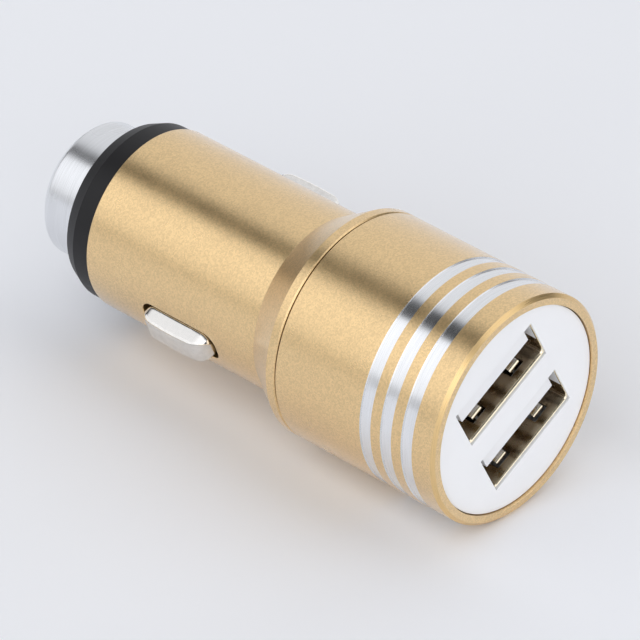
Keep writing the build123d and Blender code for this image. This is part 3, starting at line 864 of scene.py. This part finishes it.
def port_masks(size, port, points, edges, faces):
    """Which edges of a port's shell are rolled, and which finish each of its faces has.

    A point's places along and across the port are its dot products with the ports' two directions. Rolled
    are the inner edge of the mouth and the fingers' ends. Fingers lie inside the opening, and the ends of the
    opening are painted white from just below the middle up, beside the tongue, as painted light over the
    notch's shade.
    """
    axes = np.stack(port_directions(), 1)
    half = np.array([size.port_length, size.port_height]) / 2
    place = np.abs((points - port) @ axes)
    near, curl_depth, curl_gap, lip_gap, shortest = np.array([0.01, 0.15, 0.2, 0.3, 1.0]) * MM
    finger_gap = np.array([0.4, 0.03]) * MM
    mouth = (points[:, 0] > port[0] - near) & (place < half + near).all(1)
    curl = np.abs(points[:, 0] - (port[0] - size.finger_reach)) < curl_depth
    curl &= place[:, 1] < half[1] - curl_gap
    across = np.abs(np.diff(points[edges] @ axes, axis=1)[:, 0, 0]) > shortest
    inner = np.abs(place[edges, 1]).max(1) < half[1] - lip_gap
    rolled = mouth[edges].all(1) | (curl[edges].all(1) & across & inner)
    middle = (faces - port) @ axes
    finger = (np.abs(middle) < half - finger_gap).all(1)
    # The port's ends, from just below the middle up, are painted white as painted light over the notch's
    # shade
    painted_light_end = (np.abs(np.abs(middle[:, 0]) - half[0]) < near) & (middle[:, 1] > -size.painted_light_drop)
    return rolled, finger * 1 + painted_light_end * 3


def dressed_copy(name, node, materials, round_off, port=None):
    """A merged copy of a solid with its edges rounded, standing for it.

    A port's shell is rolled only at its lips.
    """
    mesh = frame["nodes"][node].data.copy()
    mesh.name = name
    mesh.materials.clear()
    for material in materials:
        mesh.materials.append(material)
    work = bmesh.new()
    work.from_mesh(mesh)
    bmesh.ops.remove_doubles(work, verts=work.verts, dist=MERGE_DISTANCE)
    bmesh.ops.dissolve_limit(work, angle_limit=FLAT_ANGLE, verts=work.verts, edges=work.edges)
    if port is not None:
        every = [*work.verts, *work.edges, *work.faces]
        up = port_directions()[1]
        # Seam where the white painted light on the port's ends begins
        seam = port - up * bpy.context.scene.charger_ports.painted_light_drop
        bmesh.ops.bisect_plane(work, geom=every, dist=MERGE_DISTANCE, plane_co=seam, plane_no=up)
    work.to_mesh(mesh)
    work.free()
    mesh.polygons.foreach_set("material_index", np.zeros(len(mesh.polygons), np.int32))
    mesh.polygons.foreach_set("use_smooth", np.ones(len(mesh.polygons), bool))
    mesh.set_sharp_from_angle(angle=SHARP_ANGLE)
    piece = bpy.data.objects.new(name, mesh)
    bpy.context.scene.collection.objects.link(piece)
    bevel = piece.modifiers.new("soft_edges", "BEVEL")
    bevel.width = round_off
    bevel.segments = 3
    bevel.angle_limit = BEVEL_ANGLE
    bevel.harden_normals = True
    if port is not None:
        points = np.empty(len(mesh.vertices) * 3)
        mesh.vertices.foreach_get("co", points)
        edges = np.empty(len(mesh.edges) * 2, np.int32)
        mesh.edges.foreach_get("vertices", edges)
        faces = np.empty(len(mesh.polygons) * 3)
        mesh.polygons.foreach_get("center", faces)
        rolled, finish = port_masks(bpy.context.scene.charger_ports, port, points.reshape(-1, 3),
                                    edges.reshape(-1, 2), faces.reshape(-1, 3))
        weight = mesh.attributes.new("bevel_weight_edge", "FLOAT", "EDGE")
        weight.data.foreach_set("value", rolled.astype(np.float32))
        mesh.polygons.foreach_set("material_index", finish.astype(np.int32))
        bevel.limit_method = "WEIGHT"
        bevel.segments = 5
        # The rolled edges take the pale gold painted highlight
        bevel.material = 2
    mesh.update()
    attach(piece, "root")
    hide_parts(node)


class CHARGER_OT_inside(bpy.types.Operator):
    """Finishes of the boards and of what they carry"""

    bl_idname = "charger.inside"
    bl_label = "Inside"

    def execute(self, context):
        paint(laminate("board_green", (0.03, 0.17, 0.07)), "front_board", "main_board")
        paint(moulded("carrier_nylon", (0.02, 0.02, 0.022), 0.45, 0.55),
              "contact_carrier", "converter_chip", "rectifier_diode")
        paint(turned_metal("can_aluminium", (0.74, 0.75, 0.77), 0.12 * MM, 0.28, 0.4, 0.001 * MM),
              "input_capacitor", "output_capacitor")
        paint(plated("nut_steel", (0.55, 0.55, 0.56), 0.25, 0.35), "nose_nut")
        paint(plated("terminal_brass", (0.72, 0.52, 0.22), 0.25, 0.35), "nose_terminal", "ground_clip")
        paint(moulded("coil_ferrite", (0.03, 0.03, 0.034), 0.5, 0.65), "inductor")
        paint(moulded("fired_ceramic", (0.36, 0.22, 0.12), 0.4, 0.5), "ceramic_capacitors")
        return {"FINISHED"}


class CHARGER_OT_stage(bpy.types.Operator):
    """Pale floor, studio light and the camera"""

    bl_idname = "charger.stage"
    bl_label = "Stage"

    def execute(self, context):
        settings = context.scene.charger_stage
        add_floor(settings)
        add_light(context.scene, settings)
        add_camera(context.scene, settings)
        context.scene.view_settings.view_transform = "Standard"
        return {"FINISHED"}


def add_floor(settings):
    """A flat square under the plug, at the height of its lowest line."""
    side = np.linspace(-0.5, 0.5, FLOOR_LINES) * settings.floor_side
    x, y = np.meshgrid(side, side)
    points = np.stack([x, y, np.full_like(x, CAD_BOX[0][2])], -1)
    mesh = bpy.data.meshes.new("floor")
    faces = grid_quads(FLOOR_LINES, FLOOR_LINES)
    mesh.from_pydata(points.reshape(-1, 3).tolist(), [], faces.reshape(-1, 4).tolist())
    material, tree, shader, place = new_finish("floor_card")
    cloud = noise(tree, place, 60 * MM, 1.0)
    mottle(tree, shader, spread(tree, cloud), settings.floor_colour, 0.99, 1.01)
    shader.inputs["Roughness"].default_value = 0.6
    shader.inputs["Specular IOR Level"].default_value = 0.2
    mesh.materials.append(material)
    floor = bpy.data.objects.new("floor", mesh)
    bpy.context.scene.collection.objects.link(floor)


def add_light(scene, settings):
    """Long soft boxes along the plug, as brightness over the angle about X, with a gap and two dark cards."""
    world = bpy.data.worlds.new("studio")
    world.use_nodes = True
    tree = world.node_tree
    scene.world = world
    place = tree.nodes.new("ShaderNodeTexCoord").outputs["Generated"]
    parts = add_node(tree, "ShaderNodeSeparateXYZ", {"Vector": place})
    turn = add_node(tree, "ShaderNodeMath", {0: parts.outputs["Z"], 1: parts.outputs["Y"]},
                    operation="ARCTAN2")
    along = add_node(tree, "ShaderNodeMapRange", {"Value": turn.outputs[0], "From Min": -math.pi,
                                                  "From Max": math.pi, "To Min": 0.0, "To Max": 1.0})
    ramp = add_node(tree, "ShaderNodeValToRGB", {"Fac": along.outputs["Result"]})
    while len(ramp.color_ramp.elements) < len(STUDIO_STOPS):
        ramp.color_ramp.elements.new(0.5)
    for element, (degrees, brightness) in zip(ramp.color_ramp.elements, STUDIO_STOPS):
        element.position = (degrees + 180) / 360
        element.color = (*(channel * brightness for channel in STUDIO_TINT), 1.0)
    front = add_node(tree, "ShaderNodeMath", {0: parts.outputs["X"], 1: settings.front_fill, 2: 1.0},
                     operation="MULTIPLY_ADD")
    level = add_node(tree, "ShaderNodeMath", {0: front.outputs[0], 1: settings.light}, operation="MULTIPLY")
    for direction, wide, narrow, left in DARK_CARDS:
        facing = add_node(tree, "ShaderNodeVectorMath", {0: place, 1: direction}, operation="DOT_PRODUCT")
        card = add_node(tree, "ShaderNodeMapRange", {
            "Value": facing.outputs["Value"], "From Min": math.cos(math.radians(wide)),
            "From Max": math.cos(math.radians(narrow)), "To Min": 1.0, "To Max": left})
        level = add_node(tree, "ShaderNodeMath", {0: level.outputs[0], 1: card.outputs["Result"]},
                         operation="MULTIPLY")
    background = tree.nodes["Background"]
    tree.links.new(ramp.outputs["Color"], background.inputs["Color"])
    tree.links.new(level.outputs[0], background.inputs["Strength"])


def add_camera(scene, settings):
    """A long lens at the photograph's angle, level with the horizon."""
    azimuth, elevation = settings.azimuth, settings.elevation
    right = Vector((math.cos(azimuth), math.sin(azimuth), 0))
    back = Vector((math.sin(azimuth) * math.cos(elevation), -math.cos(azimuth) * math.cos(elevation),
                   math.sin(elevation)))
    up = back.cross(right)
    lens = bpy.data.cameras.new("camera")
    lens.sensor_width = 36.0
    lens.lens = settings.focal_pixels * lens.sensor_width / IMAGE_SIDE
    lens.clip_start = 0.01
    camera = bpy.data.objects.new("camera", lens)
    turned = Matrix((right, up, back)).transposed().to_4x4()
    turned.translation = back * settings.distance + right * settings.aim_right + up * settings.aim_up
    camera.matrix_world = turned
    scene.collection.objects.link(camera)
    scene.camera = camera


class CHARGER_PT_build(bpy.types.Panel):
    """Lists the steps that build the charger"""

    bl_label = "Car Charger Plug"
    bl_idname = "CHARGER_PT_build"
    bl_space_type = "VIEW_3D"
    bl_region_type = "UI"
    bl_category = "Charger"

    def draw(self, context):
        for operator in OPERATORS:
            self.layout.operator(operator.bl_idname)
        for group in SETTINGS:
            for key in getattr(context.scene, group).__annotations__:
                self.layout.prop(getattr(context.scene, group), key)


SETTINGS = {
    "charger_shells": ChargerShellSizes,
    "charger_contacts": ChargerContactSizes,
    "charger_ports": ChargerPortSizes,
    "charger_finishes": ChargerFinishes,
    "charger_stage": ChargerStageSettings,
}
OPERATORS = (
    CHARGER_OT_rear_shell,
    CHARGER_OT_head_sleeve,
    CHARGER_OT_nose,
    CHARGER_OT_side_contacts,
    CHARGER_OT_ports,
    CHARGER_OT_inside,
    CHARGER_OT_stage,
)
CLASSES = (*SETTINGS.values(), *OPERATORS, CHARGER_PT_build)


def register():
    """Registers the classes and hangs the settings on the scene."""
    for one in CLASSES:
        bpy.utils.register_class(one)
    for name, group in SETTINGS.items():
        setattr(bpy.types.Scene, name, bpy.props.PointerProperty(type=group))


def unregister():
    """Takes the settings and the classes away again."""
    for name in SETTINGS:
        delattr(bpy.types.Scene, name)
    for one in reversed(CLASSES):
        bpy.utils.unregister_class(one)


def main():
    """Builds every piece in order."""
    register()
    bpy.ops.charger.rear_shell()
    bpy.ops.charger.head_sleeve()
    bpy.ops.charger.nose()
    bpy.ops.charger.side_contacts()
    bpy.ops.charger.ports()
    bpy.ops.charger.inside()
    bpy.ops.charger.stage()


if __name__ == "__main__":
    main()
